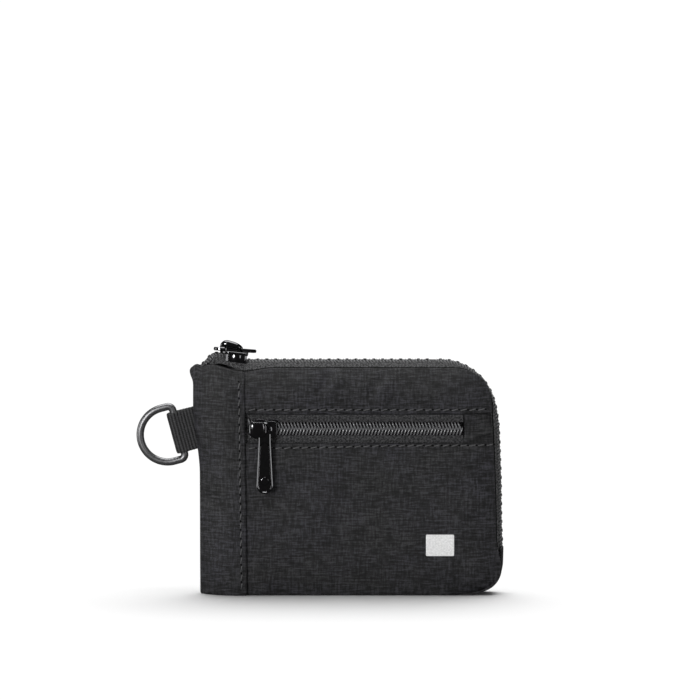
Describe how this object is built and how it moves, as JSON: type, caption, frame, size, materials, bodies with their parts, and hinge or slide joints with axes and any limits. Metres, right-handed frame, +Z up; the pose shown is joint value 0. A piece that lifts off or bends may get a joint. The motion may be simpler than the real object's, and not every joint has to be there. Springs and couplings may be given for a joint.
{
  "type": "zippered pouch",
  "caption": "Flat black fabric pouch with an L-shaped main zip, a zipped front pocket, long metal pulls and a webbing loop holding a D-ring.",
  "frame": {"origin": "middle of the flat base the pouch stands on", "axes": "+X along the width, away from the D-ring; +Y from the front face to the back; +Z up from the base to the main zip"},
  "size_m": [0.1459, 0.0365, 0.101],
  "materials": {
    "nylon": "black crinkle nylon with fine woven lines",
    "lining": "plain dark lining cloth",
    "zip_tape": "woven black zip tape",
    "zip_coil": "black nylon coil with a soft shine",
    "black_metal": "gloss black enamel",
    "ring_metal": "satin dark grey coating",
    "webbing": "black ribbed grosgrain webbing",
    "label": "plain white woven label, blank"
  },
  "bodies": {
    "pouch": {"front_lower_panel": "nylon", "front_upper_panel": "nylon", "back_panel": "nylon", "front_spine_strip": "nylon", "back_spine_strip": "nylon", "bottom_gusset": "nylon", "pocket_zip_end_tab": "nylon", "side_seam_tape": "zip_tape", "blank_label": "label", "pocket_bag": "lining", "front_lining": "lining", "back_lining": "lining", "card_slot_front": "lining", "card_slot_middle": "lining", "card_slot_back": "lining", "main_zip_tape_front_side": "zip_tape", "main_zip_tape_back_side": "zip_tape", "main_zip_coil_front_side": "zip_coil", "main_zip_coil_back_side": "zip_coil", "main_zip_stop": "black_metal"},
    "main_slider": {"main_slider_body": "black_metal", "main_slider_crown": "black_metal"},
    "main_pull": {"main_pull_tab": "black_metal"},
    "main_row_front": {"main_zip_tape_front": "zip_tape", "main_zip_coil_front": "zip_coil"},
    "main_row_back": {"main_zip_tape_back": "zip_tape", "main_zip_coil_back": "zip_coil"},
    "pocket_slider": {"pocket_slider_body": "black_metal", "pocket_slider_crown": "black_metal"},
    "pocket_pull": {"pocket_pull_tab": "black_metal"},
    "pocket_row_upper": {"pocket_zip_tape_upper": "zip_tape", "pocket_zip_coil_upper": "zip_coil"},
    "pocket_row_lower": {"pocket_zip_tape_lower": "zip_tape", "pocket_zip_coil_lower": "zip_coil"},
    "strap": {"webbing_loop": "webbing"},
    "ring": {"d_ring": "ring_metal"}
  },
  "joints": [
    {"name": "main_slider_slide", "type": "slide", "parent": "pouch", "child": "main_slider", "axis": [1, 0, 0], "range_m": [0, 0.076]},
    {"name": "main_pull_swing", "type": "hinge", "parent": "main_slider", "child": "main_pull", "pos_m": [-0.05195, 0, 0.09755], "axis": [0, 0, 1], "range_deg": [-36, 270]},
    {"name": "main_row_front_part", "type": "slide", "parent": "pouch", "child": "main_row_front", "axis": [0, -1, 0], "range_m": [0, 0.0035]},
    {"name": "main_row_back_part", "type": "slide", "parent": "pouch", "child": "main_row_back", "axis": [0, 1, 0], "range_m": [0, 0.0035]},
    {"name": "pocket_slider_slide", "type": "slide", "parent": "pouch", "child": "pocket_slider", "axis": [1, 0, 0], "range_m": [0, 0.0735]},
    {"name": "pocket_pull_swing", "type": "hinge", "parent": "pocket_slider", "child": "pocket_pull", "pos_m": [-0.0342, -0.01085, 0.0669], "axis": [0, -1, 0], "range_deg": [-50, 230]},
    {"name": "pocket_row_upper_part", "type": "slide", "parent": "pouch", "child": "pocket_row_upper", "axis": [0, 0, 1], "range_m": [0, 0.0022]},
    {"name": "pocket_row_lower_part", "type": "slide", "parent": "pouch", "child": "pocket_row_lower", "axis": [0, 0, -1], "range_m": [0, 0.0022]},
    {"name": "strap_flex", "type": "hinge", "parent": "pouch", "child": "strap", "pos_m": [-0.0632, 0, 0.0664], "axis": [-0.2588, 0, 0.9659], "range_deg": [-32, 32], "stiffness_Nm_per_rad": 0.004},
    {"name": "d_ring_swing", "type": "hinge", "parent": "strap", "child": "ring", "pos_m": [-0.0689, 0, 0.06487], "axis": [-0.2588, 0, 0.9659], "range_deg": [-100, 100]}
  ],
  "couplings": [
    {"joint": "main_row_front_part", "follows": "main_slider_slide", "ratio": 0.046},
    {"joint": "main_row_back_part", "follows": "main_slider_slide", "ratio": 0.046},
    {"joint": "pocket_row_upper_part", "follows": "pocket_slider_slide", "ratio": 0.0299},
    {"joint": "pocket_row_lower_part", "follows": "pocket_slider_slide", "ratio": 0.0299}
  ]
}
